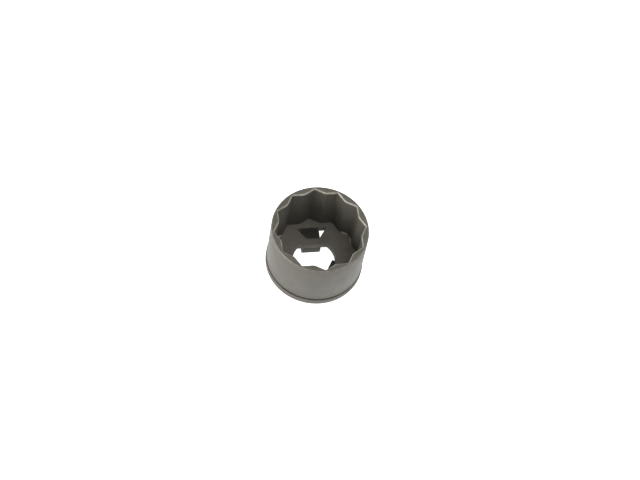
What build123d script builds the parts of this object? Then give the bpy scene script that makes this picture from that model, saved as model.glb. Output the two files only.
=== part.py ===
from build123d import *
from math import asin, cos, degrees, radians, sqrt, tan
import os

# Twelve-point cup wrench. +Z is the axis of the cup, which opens upwards. The origin is the middle of
# the plane that the three drive dogs stand on. Sizes are millimetres.

# The twelve-point socket
across_flats = 65.0          # flat to flat of either hexagon of the twelve-point broach
point_radius = 1.2           # rounding in the bottom of each of the twelve points
crest_radius = 5.0           # rounding of the crests between the points
barrel_wall = 2.5            # from a point of the broach to the outside
barrel_height = 48.0         # rim to base plate, all of it broached
rim_chamfer = 0.9            # lead-in along the broached edge
rim_edge = 0.7               # broken outer edge of the rim
seam_height = 1.6            # square groove round the barrel's foot, where plate and barrel meet
seam_depth = 1.2

# The base plate
plate_lip = 0.5              # plate beyond the barrel, all round
base_thickness = 6.0
base_edge = 0.8              # rounding of the plate's lower corner
base_top_edge = 0.3
hole_radius = 17.6           # centre opening
hole_flat = 12.5             # axis to the opening's one flat, over the back dog

# The window in the plate, a trapezium over the back dog
bar_width = 5.6              # plate left between the opening's flat and the window's short side
window_rim = 5.25            # plate left between the window's long side and the broach's crests
window_inner_width = 11.0
window_outer_width = 25.4
window_shift = 1.0           # the window is cut this far off the back dog's middle, towards +X
window_corner = 0.9

# The drive dogs under the plate
dog_setback = 1.0            # from the opening's flat out to a dog's inner face
dog_land = 2.1               # reach of a dog outwards beyond the window's long side
dog_width = 16.0
dog_length = 10.0
dog_corner = 0.6             # rounding of the two inner upright corners
dog_end_chamfer = 0.4

# Weld beads, all quarter-round
dog_bead = 1.8               # outside each dog
window_bead = 1.3            # on the back dog's top, inside the window
tack_bead = 1.7              # inside the cup, in the corner of plate and broach
tack_length = 6.0
bead_end_gap = 0.8           # what a bead stops short of the end of its corner

hexagon_turn = 30.0          # from one hexagon of the broach to the other
dog_names = ("back", "left", "right")
dog_spacing = 360 / len(dog_names)
point_distance = across_flats / 2 / cos(radians(hexagon_turn))
crest_distance = across_flats / 2 / cos(radians(hexagon_turn / 2))
barrel_radius = point_distance + barrel_wall
window_inner = hole_flat + bar_width
window_outer = crest_distance - window_rim
dog_inner = hole_flat + dog_setback
dog_outer_radius = window_outer + dog_land
base_bottom = dog_length
base_top = base_bottom + base_thickness


def broach_profile():
    """Two hexagons, one turned by half a side, with rounded points and crests."""
    hexagon = make_face(RegularPolygon(point_distance, 6).edges())
    star = (hexagon + Rot(0, 0, hexagon_turn) * hexagon).clean()
    middle = (point_distance + crest_distance) / 2
    star = fillet([v for v in star.vertices() if sqrt(v.X ** 2 + v.Y ** 2) < middle], crest_radius)
    points = [v for v in star.vertices() if sqrt(v.X ** 2 + v.Y ** 2) > point_distance - 0.01]
    return fillet(points, point_radius)


def disc(radius, bottom, height):
    return Pos(0, 0, bottom) * Cylinder(radius, height, align=(Align.CENTER, Align.CENTER, Align.MIN))


def rings_of(solid, radius):
    """The solid's circular edges of one radius, from low to high."""
    circles = solid.edges().filter_by(GeomType.CIRCLE)
    return ShapeList(e for e in circles if abs(e.radius - radius) < 0.01).sort_by(Axis.Z)


def make_barrel():
    tube = disc(barrel_radius, base_top + seam_height, barrel_height - seam_height)
    tube += disc(barrel_radius - seam_depth, base_top, seam_height)
    tube -= Pos(0, 0, base_top) * extrude(broach_profile(), barrel_height)
    rim = tube.faces().sort_by(Axis.Z)[-1]
    tube = chamfer(rim.inner_wires()[0].edges(), rim_chamfer)
    return chamfer(rings_of(tube, barrel_radius)[-1], rim_edge)


def window_outline():
    corners = [(-window_inner_width / 2, window_inner), (window_inner_width / 2, window_inner),
               (window_outer_width / 2, window_outer), (-window_outer_width / 2, window_outer)]
    outline = make_face(Polyline(*corners, close=True))
    return Pos(window_shift, 0) * fillet(outline.vertices(), window_corner)


def hole_outline():
    """A circle cut off by a flat in front of the back dog."""
    side = 4 * hole_radius
    return Circle(hole_radius) & Pos(0, hole_flat) * Rectangle(side, side, align=(Align.CENTER, Align.MAX))


def make_base_plate():
    outer = barrel_radius + plate_lip
    plate = disc(outer, base_bottom, base_thickness)
    plate = chamfer(rings_of(plate, outer)[-1], base_top_edge)
    plate = fillet(rings_of(plate, outer)[0], base_edge)
    openings = extrude(hole_outline(), base_thickness) + extrude(window_outline(), base_thickness)
    return plate - Pos(0, 0, base_bottom) * openings


def make_dog():
    """The dog on the +Y side; the others are the same, turned about the axis."""
    strip = Pos(0, dog_inner) * Rectangle(dog_width, dog_outer_radius, align=(Align.CENTER, Align.MIN))
    dog = extrude(strip & Circle(dog_outer_radius), dog_length)
    upright = [e for e in dog.edges().filter_by(Axis.Z) if abs(e.center().Y - dog_inner) < 0.01]
    dog = fillet(upright, dog_corner)
    return chamfer(dog.faces().sort_by(Axis.Z)[0].edges(), dog_end_chamfer)


def quarter_round(radius):
    """Quarter disc in +X and -Y, its square corner at the origin."""
    return Circle(radius) & Pos(radius / 2, -radius / 2) * Rectangle(radius, radius)


def make_dog_bead():
    """Bead in the corner of the plate's underside and the back dog's outer face."""
    half_angle = degrees(asin(dog_width / 2 / dog_outer_radius)) - degrees(bead_end_gap / dog_outer_radius)
    section = Plane.XZ * Pos(dog_outer_radius, base_bottom) * quarter_round(dog_bead)
    return Rot(0, 0, 90 - half_angle) * revolve(section, Axis.Z, 2 * half_angle)


def make_window_bead():
    """Bead on the back dog's top, along the short side of the window."""
    width = min(window_inner_width, dog_width) - 2 * window_corner - 2 * bead_end_gap
    section = Plane.YZ * Pos(window_inner, base_bottom) * mirror(quarter_round(window_bead), Plane.XZ)
    return Pos(window_shift - width / 2, 0, 0) * extrude(section, width)


def make_tack():
    """Bead along the foot of the broach's +X flat, on the facet towards the point at 30 degrees."""
    slope = (tan(radians(hexagon_turn / 2)) + tan(radians(hexagon_turn))) / 2
    middle = across_flats / 2 * slope
    section = Plane.XZ * Pos(across_flats / 2, base_top) * Rot(0, 0, 180) * quarter_round(tack_bead)
    return Pos(0, middle + tack_length / 2, 0) * extrude(section, tack_length)


def make_tacks():
    """A pair of tacks, one each side of every fourth point."""
    near = make_tack()
    far = Rot(0, 0, 2 * hexagon_turn) * mirror(near, Plane.XZ)
    return [Rot(0, 0, index * dog_spacing) * tack for index in range(len(dog_names)) for tack in (near, far)]


os.makedirs("parts", exist_ok=True)
export_step(make_barrel(), "parts/barrel.step")
export_step(make_base_plate(), "parts/base_plate.step")
export_step(Compound(children=make_tacks()), "parts/barrel_tack_welds.step")
export_step(make_window_bead(), "parts/window_weld.step")
for index, name in enumerate(dog_names):
    turned = Rot(0, 0, index * dog_spacing)
    export_step(turned * make_dog(), "parts/drive_dog_" + name + ".step")
    export_step(turned * make_dog_bead(), "parts/dog_weld_" + name + ".step")
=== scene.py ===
"""The looks of the twelve-point cup wrench: machined and welded steel under a dark phosphate coat."""
import math

import bmesh
import bpy
from bpy.props import FloatProperty, FloatVectorProperty, IntProperty, PointerProperty, StringProperty
from mathutils import Matrix, Vector, noise


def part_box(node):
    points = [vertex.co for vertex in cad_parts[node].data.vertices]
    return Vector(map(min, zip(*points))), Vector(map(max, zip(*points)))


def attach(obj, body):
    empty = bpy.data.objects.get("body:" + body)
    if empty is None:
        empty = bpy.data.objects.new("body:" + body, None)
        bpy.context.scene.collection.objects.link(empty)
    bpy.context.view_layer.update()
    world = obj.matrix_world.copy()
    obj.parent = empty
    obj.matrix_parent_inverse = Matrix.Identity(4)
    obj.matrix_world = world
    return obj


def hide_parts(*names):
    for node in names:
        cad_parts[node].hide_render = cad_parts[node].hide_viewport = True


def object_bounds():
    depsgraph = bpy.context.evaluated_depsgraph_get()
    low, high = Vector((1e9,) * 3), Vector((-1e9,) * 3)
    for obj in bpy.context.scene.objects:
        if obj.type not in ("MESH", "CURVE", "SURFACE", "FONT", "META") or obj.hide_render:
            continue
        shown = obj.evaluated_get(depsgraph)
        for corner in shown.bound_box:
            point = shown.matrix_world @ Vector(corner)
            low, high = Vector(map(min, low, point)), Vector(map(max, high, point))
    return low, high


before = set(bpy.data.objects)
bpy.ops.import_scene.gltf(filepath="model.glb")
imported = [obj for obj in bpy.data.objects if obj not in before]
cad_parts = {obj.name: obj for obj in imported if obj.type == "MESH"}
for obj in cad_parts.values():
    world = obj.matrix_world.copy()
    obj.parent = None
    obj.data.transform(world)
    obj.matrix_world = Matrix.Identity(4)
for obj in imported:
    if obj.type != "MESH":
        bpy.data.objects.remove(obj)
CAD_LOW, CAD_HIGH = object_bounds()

bl_info = {
    "name": "Twelve-point cup wrench",
    "version": (1, 0, 0),
    "blender": (4, 5, 0),
    "location": "View3D > Sidebar > Wrench",
    "description": "Builds the cup wrench's finished surfaces, welds and studio",
    "category": "Object",
}

MM = 0.001
BARREL_LOW, BARREL_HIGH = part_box("barrel")
PLATE_LOW, PLATE_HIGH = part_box("base_plate")
DOG_LOW, DOG_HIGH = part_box("drive_dog_back")
POINTS = 12
DOG_NAMES = ("back", "left", "right")
DOG_SPACING = 2 * math.pi / len(DOG_NAMES)

# Mesh building: a point is on a surface when it is nearer than NEAR, and doubles are nearer than MERGE.
NEAR = 0.1 * MM
MERGE = 0.002 * MM
ROUND_SEGMENTS = 6
SOFT_SEGMENTS = 2
DOG_STEPS = 180
FLOOR_GAP = 0.01 * MM

# Weld beads: a round rod whose radius, as a part of the bead's, swells at each ripple and wanders a little.
BEAD_SIDES = 14
RINGS_PER_RIPPLE = 4
LEAST_RINGS = 6
BEAD_NECK = 0.90
BEAD_SWELL = 0.06
BEAD_WANDER = 0.04
WANDER_LENGTH = 2.5 * MM
BEAD_END = 0.30

# How far the coat is rubbed off, from 0 to 1.
# The lead-in's full level is rubbed coat and also a painted highlight along the rim's chamfer.
WEAR_AND_HIGHLIGHT_LEAD_IN = 1.0
WEAR_RIM = 0.1
WEAR_EDGE = 0.6
WEAR_DOG_CORNER = 0.4
WEAR_DOG_END = 0.9
WEAR_BEAD = 0.15

# Grain of the coat and the tool marks under it.
OIL_PATCH = 14 * MM
SMEAR = 5 * MM
CRYSTAL = 0.7 * MM
TOOL_MARK = 0.9 * MM

# The studio's lights: name, place, side and the finish setting with the power.
SOFTBOXES = (
    ("key_softbox", (-0.90, -0.20, 0.35), 0.6, "key_power"),
    ("fill_softbox", (0.75, 0.05, 0.85), 0.5, "fill_power"),
    ("top_softbox", (0.05, -0.25, 1.1), 0.7, "top_power"),
)
FLOOR_HALF = 3.0


# ---------------------------------------------------------------- settings

class WrenchSizes(bpy.types.PropertyGroup):
    """Sizes of the finished wrench; what the frame holds comes from the frame."""
    across_flats: FloatProperty(
        name="Across flats", description="Flat to flat of either hexagon of the broach",
        default=65 * MM, unit="LENGTH")
    point_radius: FloatProperty(
        name="Point radius", description="Rounding in the bottom of each point",
        default=1.2 * MM, unit="LENGTH")
    crest_radius: FloatProperty(
        name="Crest radius", description="Rounding of the crests between the points",
        default=5 * MM, unit="LENGTH")
    rim_chamfer: FloatProperty(
        name="Rim chamfer", description="Lead-in along the broached edge", default=0.9 * MM, unit="LENGTH")
    rim_edge: FloatProperty(
        name="Rim edge", description="Broken outer edge of the rim", default=0.7 * MM, unit="LENGTH")
    seam_height: FloatProperty(
        name="Seam height", description="Height of the square groove round the barrel's foot",
        default=1.6 * MM, unit="LENGTH")
    seam_depth: FloatProperty(
        name="Seam depth", description="Depth of the square groove", default=1.2 * MM, unit="LENGTH")
    dog_corner: FloatProperty(
        name="Dog corner", description="Rounding of a dog's two inner upright corners",
        default=0.6 * MM, unit="LENGTH")
    dog_chamfer: FloatProperty(
        name="Dog chamfer", description="Chamfer round a dog's end", default=0.4 * MM, unit="LENGTH")
    bead_end_gap: FloatProperty(
        name="Bead end gap", description="How far a dog's bead stops short of the dog's side",
        default=0.8 * MM, unit="LENGTH")
    tack_length: FloatProperty(
        name="Tack length", description="Length of each tack inside the cup", default=6 * MM, unit="LENGTH")
    softening: FloatProperty(
        name="Softening", description="Tumbled rounding of every remaining edge",
        default=0.16 * MM, unit="LENGTH")
    ripple_pitch: FloatProperty(
        name="Ripple pitch", description="From one ripple of a weld bead to the next",
        default=0.9 * MM, unit="LENGTH")
    round_steps: IntProperty(
        name="Round steps", description="Sides of the barrel's and plate's circles", default=240)


class WrenchFinish(bpy.types.PropertyGroup):
    """Colours of the coat, as sRGB hex values, and the studio's levels."""
    turned: StringProperty(name="Turned", description="Coat on the turned wall and rim", default="#4e4b44")
    # Painted light: the bore's coat is set paler than the wall's to brighten the inside of the cup.
    broached: StringProperty(name="Broached", description="Coat in the broached bore", default="#57544c")
    faced: StringProperty(name="Faced", description="Coat on the base plate", default="#504c45")
    # Painted shade: the dogs' coat is far darker than the rest, standing in for the shade under the plate.
    dog: StringProperty(name="Dog", description="Coat on the hardened dogs", default="#292722")
    weld: StringProperty(name="Weld", description="Coat over the weld beads", default="#625f57")
    # The worn colour is rubbed coat, and on the rim's chamfer also a painted highlight.
    worn_and_highlight: StringProperty(name="Worn steel", description="Coat rubbed thin on edges", default="#aaa79c")
    oil: FloatVectorProperty(
        name="Oil tint", description="What oil does to the coat, as factors of red, green and blue",
        default=(0.68, 0.62, 0.53))
    world_level: FloatProperty(name="Room light", description="Level of the white room", default=0.5)
    floor_level: FloatProperty(
        name="Floor light", description="Level of the lit floor as it is seen", default=1.0)
    floor_spill: FloatProperty(
        name="Floor spill", description="Level of the light that the floor casts on the wrench", default=0.55)
    key_power: FloatProperty(
        name="Key light", description="Power of the key softbox", default=8.5, unit="POWER")
    fill_power: FloatProperty(
        name="Fill light", description="Power of the fill softbox", default=3.4, unit="POWER")
    top_power: FloatProperty(
        name="Top light", description="Power of the softbox over the cup", default=7.5, unit="POWER")


# ---------------------------------------------------------------- materials

def linear(hex_colour):
    """An sRGB hex colour as linear red, green, blue, alpha."""
    channels = [int(hex_colour[i:i + 2], 16) / 255 for i in (1, 3, 5)]
    return tuple(c / 12.92 if c <= 0.04045 else ((c + 0.055) / 1.055) ** 2.4 for c in channels) + (1.0,)


def shade(hex_colour, amount):
    """A colour made lighter or darker."""
    return tuple(min(1.0, channel * amount) for channel in linear(hex_colour)[:3]) + (1.0,)


def node(tree, kind, links=None, values=None, **settings):
    """Adds a node with its settings, its sockets' values and its incoming links."""
    made = tree.nodes.new(kind)
    for name, value in settings.items():
        setattr(made, name, value)
    for socket, value in (values or {}).items():
        made.inputs[socket].default_value = value
    for socket, source in (links or {}).items():
        tree.links.new(source, made.inputs[socket])
    return made


def ramp(tree, source, low, high, low_colour=(0, 0, 0, 1), high_colour=(1, 1, 1, 1)):
    """A colour ramp from low to high over the source's value."""
    made = node(tree, "ShaderNodeValToRGB", {"Fac": source})
    first, last = made.color_ramp.elements
    first.position, last.position = low, high
    first.color, last.color = low_colour, high_colour
    return made.outputs["Color"]


def mix_colour(tree, factor, under, over):
    """Mixes two colours; each is a socket or a plain colour."""
    made = node(tree, "ShaderNodeMix", data_type="RGBA")
    sockets = {0: factor, 6: under, 7: over}
    for index, value in sockets.items():
        if isinstance(value, bpy.types.NodeSocket):
            tree.links.new(value, made.inputs[index])
        else:
            made.inputs[index].default_value = value
    return made.outputs[2]


def multiply(tree, first, second):
    """One value times another; the second may be a number."""
    made = node(tree, "ShaderNodeMath", {0: first}, operation="MULTIPLY")
    if isinstance(second, bpy.types.NodeSocket):
        tree.links.new(second, made.inputs[1])
    else:
        made.inputs[1].default_value = second
    return made.outputs[0]


def phosphated_steel(name, coat, worn_and_highlight, oil, metallic, roughness, marks):
    """Steel with a manganese phosphate coat, a fine grey crystal crust that oil darkens in patches.

    marks says what lies under the coat: "turned" for lathe rings, "broached" for upright scores,
    "faced" for a sawn and faced plate or dog, "none" for weld metal.
    """
    material = bpy.data.materials.new(name)
    material.use_nodes = True
    tree = material.node_tree
    shader = tree.nodes["Principled BSDF"]
    coords = node(tree, "ShaderNodeTexCoord").outputs["Object"]

    # Real crystals are about 0.05 mm across, too fine to show, so they are drawn larger.
    patch = node(tree, "ShaderNodeTexNoise", {"Vector": coords},
                 {"Scale": 1 / OIL_PATCH, "Detail": 4.0, "Roughness": 0.6})
    crystal = node(tree, "ShaderNodeTexNoise", {"Vector": coords},
                   {"Scale": 1 / CRYSTAL, "Detail": 3.0, "Roughness": 0.7})
    smear = node(tree, "ShaderNodeTexNoise", {"Vector": coords},
                 {"Scale": 1 / SMEAR, "Detail": 5.0, "Roughness": 0.65, "Distortion": 0.8})

    oiled_coat = tuple(c * t for c, t in zip(linear(coat)[:3], oil)) + (1.0,)
    oiled = ramp(tree, patch.outputs["Fac"], 0.42, 0.68)
    wiped = ramp(tree, smear.outputs["Fac"], 0.50, 0.74)
    speck = ramp(tree, crystal.outputs["Fac"], 0.35, 0.70)
    colour = mix_colour(tree, multiply(tree, oiled, 0.45), linear(coat), oiled_coat)
    colour = mix_colour(tree, multiply(tree, wiped, 0.35), colour, shade(coat, 1.5))
    colour = mix_colour(tree, multiply(tree, speck, 0.20), colour, shade(coat, 1.6))

    # Handling rubs the coat thin on edges: the wear attribute marks them and the smears break it up. On the
    # rim's lead-in chamfer the same pale colour at full level is also a painted highlight line.
    wear = node(tree, "ShaderNodeAttribute", attribute_name="wear", attribute_type="GEOMETRY").outputs["Fac"]
    rubbed = multiply(tree, wear, ramp(tree, smear.outputs["Fac"], 0.25, 0.55))
    colour = mix_colour(tree, multiply(tree, rubbed, 0.7), colour, linear(worn_and_highlight))
    tree.links.new(colour, shader.inputs["Base Color"])
    shader.inputs["Metallic"].default_value = metallic

    # The oiled patches are the smoother ones.
    rough = node(tree, "ShaderNodeMapRange", {"Value": patch.outputs["Fac"]},
                 {"From Min": 0.35, "From Max": 0.7, "To Min": roughness + 0.07, "To Max": roughness - 0.08})
    tree.links.new(rough.outputs["Result"], shader.inputs["Roughness"])

    bump = node(tree, "ShaderNodeBump", {"Height": crystal.outputs["Fac"]},
                {"Strength": 0.35, "Distance": 0.05 * MM})
    if marks == "turned":
        # A lathe feeds about 0.25 mm a turn, drawn wider so that it shows: faint rings up the wall.
        rings = node(tree, "ShaderNodeTexWave", {"Vector": coords},
                     {"Scale": math.pi / 10 / TOOL_MARK, "Distortion": 0.6, "Detail": 1.0,
                      "Detail Scale": 0.3},
                     wave_type="BANDS", bands_direction="Z")
        bump = node(tree, "ShaderNodeBump",
                    {"Height": rings.outputs["Fac"], "Normal": bump.outputs["Normal"]},
                    {"Strength": 0.18, "Distance": 0.03 * MM})
    elif marks in ("broached", "faced"):
        # Scores stretched along the cut: upright in the broach, along X on the plate and the dogs.
        stretch = (1.0, 1.0, 0.02) if marks == "broached" else (0.03, 1.0, 1.0)
        squeezed = node(tree, "ShaderNodeMapping", {"Vector": coords}, {"Scale": stretch})
        scores = node(tree, "ShaderNodeTexNoise", {"Vector": squeezed.outputs["Vector"]},
                      {"Scale": 1 / TOOL_MARK, "Detail": 4.0, "Roughness": 0.6})
        bump = node(tree, "ShaderNodeBump",
                    {"Height": scores.outputs["Fac"], "Normal": bump.outputs["Normal"]},
                    {"Strength": 0.35, "Distance": 0.06 * MM})
    tree.links.new(bump.outputs["Normal"], shader.inputs["Normal"])
    return material


def finish_material(key):
    """The named finish, made the first time it is asked for."""
    if key in bpy.data.materials:
        return bpy.data.materials[key]
    finish = bpy.context.scene.wrench_finish
    recipes = {
        # Turned wall and rim: grey, satin, ringed by the lathe.
        "phosphated turned steel": (finish.turned, 0.25, 0.48, "turned"),
        # Broached bore: with upright scores; its coat is a little paler than the wall's as painted light,
        # brightening the inside of the cup.
        "phosphated broached steel": (finish.broached, 0.25, 0.52, "broached"),
        # Faced plate: the same coat over sawn and faced bar.
        "phosphated faced steel": (finish.faced, 0.25, 0.52, "faced"),
        # Dogs: hardened; their coat is set far darker as painted shade, standing in for the shade under the
        # plate.
        "phosphated hardened steel": (finish.dog, 0.25, 0.50, "faced"),
        # Weld metal: the palest, and a little rougher than the bar.
        "phosphated weld metal": (finish.weld, 0.20, 0.58, "none"),
    }
    coat, metallic, roughness, marks = recipes[key]
    return phosphated_steel(key, coat, finish.worn_and_highlight, finish.oil, metallic, roughness, marks)


# ---------------------------------------------------------------- mesh helpers

def each_once(items):
    """The items without repeats, in their order: a set's order would change from run to run."""
    return list(dict.fromkeys(items))


def flat_outline(bm, segments, radius):
    """A filled flat ring of vertices about the origin, the first one on +Y."""
    return bmesh.ops.create_circle(bm, cap_ends=True, segments=segments, radius=radius)["verts"]


def circle_edges(bm, segments, radius):
    """The edges of a new flat circle about the origin."""
    made = bmesh.ops.create_circle(bm, segments=segments, radius=radius)
    return each_once(e for v in made["verts"] for e in v.link_edges)


def drop_faces(bm):
    """Leaves only the outline's edges."""
    bmesh.ops.delete(bm, geom=bm.faces[:], context="FACES_ONLY")


def round_corners(bm, corners, radius, turn):
    """Rounds flat corners that each turn by the given angle."""
    bmesh.ops.bevel(bm, geom=corners, offset=radius * math.tan(turn / 2), offset_type="OFFSET",
                    segments=ROUND_SEGMENTS, profile=0.5, affect="VERTICES", material=-1,
                    clamp_overlap=False)


def cut_away(bm, point, normal):
    """Removes what lies on the normal's side of a plane."""
    bmesh.ops.bisect_plane(bm, geom=bm.verts[:] + bm.edges[:] + bm.faces[:], plane_co=point,
                           plane_no=normal, clear_outer=True)


def mark_wear(bm, faces, amount):
    """Sets how far the coat is rubbed off on these faces."""
    layer = bm.loops.layers.float_color.get("wear") or bm.loops.layers.float_color.new("wear")
    for face in faces:
        for loop in face.loops:
            loop[layer] = (amount, amount, amount, 1.0)


def bevel_edges(bm, edges, offset, segments, wear):
    """Bevels edges and marks the new faces as worn."""
    made = bmesh.ops.bevel(bm, geom=edges, offset=offset, offset_type="OFFSET", segments=segments,
                           profile=0.5, affect="EDGES", material=-1, clamp_overlap=False)
    mark_wear(bm, made["faces"], wear)


def sharp_edges(bm, least=math.radians(32)):
    """Edges whose two faces meet at more than the given angle."""
    return [e for e in bm.edges if e.is_manifold and e.calc_face_angle(0.0) > least]


def stand_up(bm, low, high):
    """Turns a flat outline of faces at z = 0 into a closed solid from low to high."""
    made = bmesh.ops.extrude_face_region(bm, geom=bm.faces[:])
    top = [g for g in made["geom"] if isinstance(g, bmesh.types.BMVert)]
    bmesh.ops.translate(bm, vec=(0, 0, high - low), verts=top)
    bmesh.ops.translate(bm, vec=(0, 0, low), verts=bm.verts[:])
    bmesh.ops.recalc_face_normals(bm, faces=bm.faces[:])


def finish_piece(bm, name, materials, slot, *nodes):
    """Closes off a mesh: merges doubles, smooths its rounds, and rides it in place of its CAD nodes."""
    bmesh.ops.remove_doubles(bm, verts=bm.verts[:], dist=MERGE)
    bmesh.ops.recalc_face_normals(bm, faces=bm.faces[:])
    for face in bm.faces:
        face.smooth = True
    for edge in sharp_edges(bm):
        edge.smooth = False
    mesh = bpy.data.meshes.new(name)
    bm.to_mesh(mesh)
    bm.free()
    for key in materials:
        mesh.materials.append(finish_material(key))
    piece = bpy.data.objects.new(name, mesh)
    bpy.context.scene.collection.objects.link(piece)
    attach(piece, "root")
    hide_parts(*nodes)
    return piece


def coat_node(name, key):
    """Gives a CAD node that is shown as it is its finish."""
    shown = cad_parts[name]
    if not shown.data.materials:
        shown.data.materials.append(None)
    for holder in shown.material_slots:
        holder.link = "OBJECT"
        holder.material = finish_material(key)


# ---------------------------------------------------------------- pieces

def broach_outline(bm, sizes):
    """The twelve-point outline: a ring of points and crests, each rounded."""
    half = sizes.across_flats / 2
    point_distance = half / math.cos(math.pi / 6)
    crest_distance = half / math.cos(math.pi / 12)
    ring = flat_outline(bm, 2 * POINTS, point_distance)
    points, crests = ring[0::2], ring[1::2]
    shrink = crest_distance / point_distance
    bmesh.ops.scale(bm, vec=(shrink, shrink, 1), verts=crests)
    round_corners(bm, crests, sizes.crest_radius, math.radians(30))
    points = [v for v in bm.verts if v.co.length > point_distance - NEAR]
    round_corners(bm, points, sizes.point_radius, math.radians(60))
    drop_faces(bm)
    return bm.edges[:]


class WRENCH_OT_barrel(bpy.types.Operator):
    """Twelve-point barrel, broached from rim to plate, with its chamfered rim"""
    bl_idname = "wrench.add_barrel"
    bl_label = "Add barrel"

    def execute(self, context):
        sizes = context.scene.wrench_sizes
        bm = bmesh.new()
        outer_radius = (BARREL_HIGH.x - BARREL_LOW.x) / 2
        inner = broach_outline(bm, sizes)
        groove = circle_edges(bm, sizes.round_steps, outer_radius - sizes.seam_depth)
        bmesh.ops.triangle_fill(bm, edges=inner + groove, use_beauty=True, use_dissolve=False)
        wall = circle_edges(bm, sizes.round_steps, outer_radius)
        bmesh.ops.bridge_loops(bm, edges=groove + wall)
        stand_up(bm, BARREL_LOW.z, BARREL_HIGH.z)
        self.cut_seam(bm, sizes, outer_radius)

        near_wall = outer_radius - NEAR
        middle = (BARREL_LOW.z + BARREL_HIGH.z) / 2
        rims = [e for e in sharp_edges(bm, math.radians(80)) if all(v.co.z > middle for v in e.verts)]
        broached = [e for e in rims if all(v.co.xy.length < near_wall for v in e.verts)]
        turned = [e for e in rims if all(v.co.xy.length > near_wall for v in e.verts)]
        mark_wear(bm, bm.faces, 0.0)
        # The lead-in chamfer: rubbed coat and a painted highlight line.
        bevel_edges(bm, broached, sizes.rim_chamfer, 1, WEAR_AND_HIGHLIGHT_LEAD_IN)
        bevel_edges(bm, turned, sizes.rim_edge, 1, WEAR_RIM)
        bevel_edges(bm, sharp_edges(bm), sizes.softening, SOFT_SEGMENTS, WEAR_EDGE)

        bore = sizes.across_flats / 2 / math.cos(math.pi / 6) + NEAR
        for face in bm.faces:
            upright = abs(face.normal.z) < 0.2
            face.material_index = 1 if upright and face.calc_center_median().xy.length < bore else 0
        finish_piece(bm, "barrel_finished", ["phosphated turned steel", "phosphated broached steel"],
                     "phosphated_steel", "barrel")
        return {"FINISHED"}

    def cut_seam(self, bm, sizes, outer_radius):
        """The square groove where the wall's foot meets the plate."""
        foot = BARREL_LOW.z + NEAR
        groove_radius = outer_radius - sizes.seam_depth
        under = [f for f in bm.faces if all(v.co.z < foot for v in f.verts)
                 and f.calc_center_median().xy.length > groove_radius + NEAR]
        bmesh.ops.delete(bm, geom=under, context="FACES")
        lip = [e for e in bm.edges if e.is_boundary]
        groove = [e for e in lip if e.verts[0].co.xy.length < outer_radius - NEAR]
        wall = [e for e in lip if e not in groove]
        rise = (0, 0, sizes.seam_height)
        bmesh.ops.translate(bm, vec=rise, verts=each_once(v for e in wall for v in e.verts))
        grown = bmesh.ops.extrude_edge_only(bm, edges=groove)["geom"]
        bmesh.ops.translate(bm, vec=rise, verts=[g for g in grown if isinstance(g, bmesh.types.BMVert)])
        inner = [g for g in grown if isinstance(g, bmesh.types.BMEdge)]
        bmesh.ops.bridge_loops(bm, edges=inner + wall)
        bmesh.ops.recalc_face_normals(bm, faces=bm.faces[:])


class WRENCH_OT_base_plate(bpy.types.Operator):
    """Coats the base plate, whose shape comes from the frame as it is"""
    bl_idname = "wrench.coat_base_plate"
    bl_label = "Coat base plate"

    def execute(self, context):
        coat_node("base_plate", "phosphated faced steel")
        return {"FINISHED"}


class WRENCH_OT_dogs(bpy.types.Operator):
    """The three drive dogs under the plate"""
    bl_idname = "wrench.add_dogs"
    bl_label = "Add drive dogs"

    def execute(self, context):
        sizes = context.scene.wrench_sizes
        for index, name in enumerate(DOG_NAMES):
            bm = bmesh.new()
            flat_outline(bm, DOG_STEPS, DOG_HIGH.y)
            cut_away(bm, (DOG_HIGH.x, 0, 0), (1, 0, 0))
            cut_away(bm, (DOG_LOW.x, 0, 0), (-1, 0, 0))
            cut_away(bm, (0, DOG_LOW.y, 0), (0, -1, 0))
            # A sliver of the circle left beside a cut would make the bevels spike.
            bmesh.ops.remove_doubles(bm, verts=bm.verts[:], dist=2 * sizes.softening)
            stand_up(bm, DOG_LOW.z, DOG_HIGH.z)
            mark_wear(bm, bm.faces, 0.0)
            upright = [e for e in sharp_edges(bm) if abs(e.verts[0].co.z - e.verts[1].co.z) > MM
                       and e.verts[0].co.y < DOG_LOW.y + NEAR]
            bevel_edges(bm, upright, sizes.dog_corner, ROUND_SEGMENTS, WEAR_DOG_CORNER)
            foot = [e for e in sharp_edges(bm, math.radians(60))
                    if all(v.co.z < DOG_LOW.z + NEAR for v in e.verts)]
            bevel_edges(bm, foot, sizes.dog_chamfer, 1, WEAR_DOG_END)
            bevel_edges(bm, sharp_edges(bm), sizes.softening, SOFT_SEGMENTS, WEAR_EDGE)
            bmesh.ops.rotate(bm, verts=bm.verts[:], matrix=Matrix.Rotation(index * DOG_SPACING, 3, "Z"))
            # The dogs' dark coat is painted shade for the shade under the plate.
            finish_piece(bm, "drive_dog_" + name + "_finished", ["phosphated hardened steel"],
                         "phosphated_steel", "drive_dog_" + name)
        return {"FINISHED"}


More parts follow.
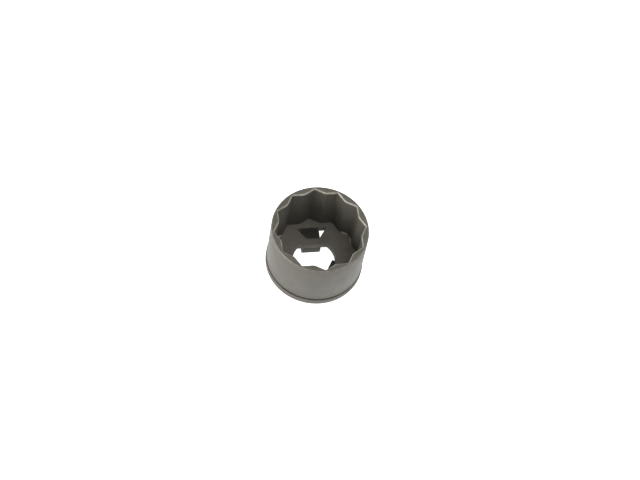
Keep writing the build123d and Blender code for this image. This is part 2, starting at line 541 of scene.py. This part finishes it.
def ripple_bead(bm, start, end, radius, pitch, centre=None, seed=0.0):
    """A rippled weld bead from start to end, straight or, with a centre, turned about the Z axis there.

    The bead is a round rod whose middle lies in the corner that it fills, so that most of it is inside
    the two pieces it joins.
    """
    travel = end - start
    if centre is None:
        length, angle = travel.length, 0.0
        direction = travel.normalized()
    else:
        first, last = start - centre, end - centre
        angle = -first.xy.angle_signed(last.xy)
        length = abs(angle) * first.xy.length
        direction = Vector((-first.y, first.x, 0)).normalized() * (1 if angle > 0 else -1)
    rings = max(LEAST_RINGS, round(length / pitch * RINGS_PER_RIPPLE))
    ring = bmesh.ops.create_circle(bm, cap_ends=False, segments=BEAD_SIDES, radius=radius)["verts"]
    bmesh.ops.rotate(bm, verts=ring, matrix=direction.to_track_quat("Z", "Y").to_matrix())
    bmesh.ops.translate(bm, vec=start, verts=ring)
    place = start.copy()
    edges = each_once(e for v in ring for e in v.link_edges)
    all_rings = [(ring, place.copy())]
    for _ in range(rings):
        grown = bmesh.ops.extrude_edge_only(bm, edges=edges)["geom"]
        ring = [g for g in grown if isinstance(g, bmesh.types.BMVert)]
        edges = [g for g in grown if isinstance(g, bmesh.types.BMEdge)]
        if centre is None:
            bmesh.ops.translate(bm, vec=travel / rings, verts=ring)
            place = place + travel / rings
        else:
            step = Matrix.Rotation(angle / rings, 3, "Z")
            bmesh.ops.rotate(bm, cent=centre, verts=ring, matrix=step)
            place = centre + step @ (place - centre)
        all_rings.append((ring, place.copy()))
    for index, (ring, place) in enumerate(all_rings):
        along = index / rings
        closing = math.sqrt(max(0.0, 1 - abs(2 * along - 1) ** 9))
        ripple = BEAD_NECK + BEAD_SWELL * abs(math.sin(math.pi * along * length / pitch))
        wander = BEAD_WANDER * noise.noise(Vector((seed, along * length / WANDER_LENGTH, 0)))
        size = max(BEAD_END, closing) * (ripple + wander)
        space = Matrix.Translation(-place)
        bmesh.ops.scale(bm, vec=(size, size, size), space=space, verts=ring)
    for ring, _ in (all_rings[0], all_rings[-1]):
        bmesh.ops.contextual_create(bm, geom=ring)


def name_beads(bm, name, *nodes):
    """Finishes a group of weld beads."""
    mark_wear(bm, bm.faces, WEAR_BEAD)
    finish_piece(bm, name, ["phosphated weld metal"], "weld_bead", *nodes)


class WRENCH_OT_welds(bpy.types.Operator):
    """Weld beads that hold the dogs and the barrel to the plate"""
    bl_idname = "wrench.add_welds"
    bl_label = "Add weld beads"

    def execute(self, context):
        sizes = context.scene.wrench_sizes
        pitch = sizes.ripple_pitch
        under = PLATE_LOW.z
        for index, name in enumerate(DOG_NAMES):
            low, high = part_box("dog_weld_" + name)
            bead = high.z - low.z
            half_angle = math.asin(DOG_HIGH.x / DOG_HIGH.y) - sizes.bead_end_gap / DOG_HIGH.y
            facing = index * DOG_SPACING + math.pi / 2
            arc = [Vector((math.cos(facing + side * half_angle) * DOG_HIGH.y,
                           math.sin(facing + side * half_angle) * DOG_HIGH.y, under)) for side in (-1, 1)]
            bm = bmesh.new()
            ripple_bead(bm, arc[0], arc[1], bead, pitch, Vector((0, 0, under)), index * 7.0)
            name_beads(bm, "dog_weld_" + name + "_rippled", "dog_weld_" + name)
        low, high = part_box("window_weld")
        bm = bmesh.new()
        ripple_bead(bm, Vector((low.x, low.y, under)), Vector((high.x, low.y, under)), high.z - low.z, pitch)
        name_beads(bm, "window_weld_rippled", "window_weld")
        self.tacks(sizes, pitch)
        return {"FINISHED"}

    def tacks(self, sizes, pitch):
        """The tacks inside the cup, in pairs, each in the corner of the plate and a broached facet."""
        low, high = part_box("barrel_tack_welds")
        bead = high.z - low.z
        half = sizes.across_flats / 2
        along = half * (math.tan(math.pi / 6) + math.tan(math.pi / 12)) / 2
        half_length = sizes.tack_length / 2
        bm = bmesh.new()
        for turn, side in ((0, 1), (60, -1), (120, 1), (180, -1), (240, 1), (300, -1)):
            spin = Matrix.Rotation(math.radians(turn), 3, "Z")
            ends = [spin @ Vector((half, side * along + reach, PLATE_HIGH.z))
                    for reach in (-half_length, half_length)]
            ripple_bead(bm, ends[0], ends[1], bead, pitch, None, turn)
        name_beads(bm, "barrel_tack_welds_rippled", "barrel_tack_welds")


# ---------------------------------------------------------------- studio

class WRENCH_OT_studio(bpy.types.Operator):
    """White lit floor, soft light and the camera"""
    bl_idname = "wrench.add_studio"
    bl_label = "Add studio"

    def execute(self, context):
        finish = context.scene.wrench_finish
        self.floor(finish)
        self.room(context.scene, finish)
        middle = Vector((0, 0, PLATE_HIGH.z))
        for name, place, side, power in SOFTBOXES:
            self.softbox(name, Vector(place), middle, side, getattr(finish, power))
        self.camera(context.scene)
        return {"FINISHED"}

    def floor(self, finish):
        """A plain white floor that glows: fully where the camera sees it, less where it lights the wrench."""
        bm = bmesh.new()
        bmesh.ops.create_grid(bm, x_segments=1, y_segments=1, size=FLOOR_HALF)
        bmesh.ops.translate(bm, vec=(0, 0, CAD_LOW.z - FLOOR_GAP), verts=bm.verts[:])
        mesh = bpy.data.meshes.new("floor")
        bm.to_mesh(mesh)
        bm.free()
        material = bpy.data.materials.new("white acrylic light table")
        material.use_nodes = True
        shader = material.node_tree.nodes["Principled BSDF"]
        shader.inputs["Base Color"].default_value = linear("#e8e8e6")
        shader.inputs["Roughness"].default_value = 0.8
        shader.inputs["Emission Color"].default_value = linear("#ffffff")
        seen = node(material.node_tree, "ShaderNodeLightPath").outputs["Is Camera Ray"]
        level = node(material.node_tree, "ShaderNodeMapRange", {"Value": seen},
                     {"To Min": finish.floor_spill, "To Max": finish.floor_level})
        material.node_tree.links.new(level.outputs["Result"], shader.inputs["Emission Strength"])
        mesh.materials.append(material)
        floor = bpy.data.objects.new("floor", mesh)
        bpy.context.scene.collection.objects.link(floor)

    def room(self, scene, finish):
        """An even white room."""
        world = bpy.data.worlds.new("white room")
        world.use_nodes = True
        background = world.node_tree.nodes["Background"]
        background.inputs["Color"].default_value = linear("#ffffff")
        background.inputs["Strength"].default_value = finish.world_level
        scene.world = world
        scene.view_settings.view_transform = "Standard"

    def softbox(self, name, place, target, size, power):
        """A square soft light that faces the target."""
        data = bpy.data.lights.new(name, "AREA")
        data.shape, data.size, data.energy = "SQUARE", size, power
        light = bpy.data.objects.new(name, data)
        light.location = place
        light.rotation_euler = (target - place).to_track_quat("-Z", "Y").to_euler()
        bpy.context.scene.collection.objects.link(light)

    def camera(self, scene):
        """A long lens that looks steeply down into the cup, rolled a little."""
        azimuth, elevation, roll = math.radians(17.4), math.radians(59.9), math.radians(11.9)
        distance, offset_up, offset_right = 1.557, -9.0 * MM, -0.3 * MM
        level_right = Vector((math.cos(azimuth), -math.sin(azimuth), 0))
        level_up = Vector((math.sin(azimuth) * math.sin(elevation), math.cos(azimuth) * math.sin(elevation),
                           math.cos(elevation)))
        right = level_right * math.cos(roll) + level_up * math.sin(roll)
        up = level_up * math.cos(roll) - level_right * math.sin(roll)
        back = right.cross(up)
        data = bpy.data.cameras.new("camera")
        data.lens, data.sensor_width = 108.1, 36.0
        data.clip_start, data.clip_end = 0.05, 20.0
        camera = bpy.data.objects.new("camera", data)
        target = Vector((0, 0, BARREL_HIGH.z)) + up * offset_up + right * offset_right
        place = Matrix((right, up, back)).transposed().to_4x4()
        place.translation = target + back * distance
        camera.matrix_world = place
        scene.collection.objects.link(camera)
        scene.camera = camera


# ---------------------------------------------------------------- add-on

OPERATORS = (WRENCH_OT_barrel, WRENCH_OT_base_plate, WRENCH_OT_dogs, WRENCH_OT_welds, WRENCH_OT_studio)


class WRENCH_PT_panel(bpy.types.Panel):
    """Lists the wrench's pieces, sizes and finishes"""
    bl_idname = "WRENCH_PT_panel"
    bl_label = "Cup wrench"
    bl_space_type = "VIEW_3D"
    bl_region_type = "UI"
    bl_category = "Wrench"

    def draw(self, context):
        for operator in OPERATORS:
            self.layout.operator(operator.bl_idname)
        for group in (context.scene.wrench_sizes, context.scene.wrench_finish):
            for name in group.__annotations__:
                self.layout.prop(group, name)


CLASSES = (WrenchSizes, WrenchFinish) + OPERATORS + (WRENCH_PT_panel,)


def register():
    for each in CLASSES:
        bpy.utils.register_class(each)
    bpy.types.Scene.wrench_sizes = PointerProperty(type=WrenchSizes)
    bpy.types.Scene.wrench_finish = PointerProperty(type=WrenchFinish)


def unregister():
    del bpy.types.Scene.wrench_finish
    del bpy.types.Scene.wrench_sizes
    for each in reversed(CLASSES):
        bpy.utils.unregister_class(each)


def main():
    register()
    bpy.ops.wrench.add_barrel()
    bpy.ops.wrench.coat_base_plate()
    bpy.ops.wrench.add_dogs()
    bpy.ops.wrench.add_welds()
    bpy.ops.wrench.add_studio()


if __name__ == "__main__":
    main()
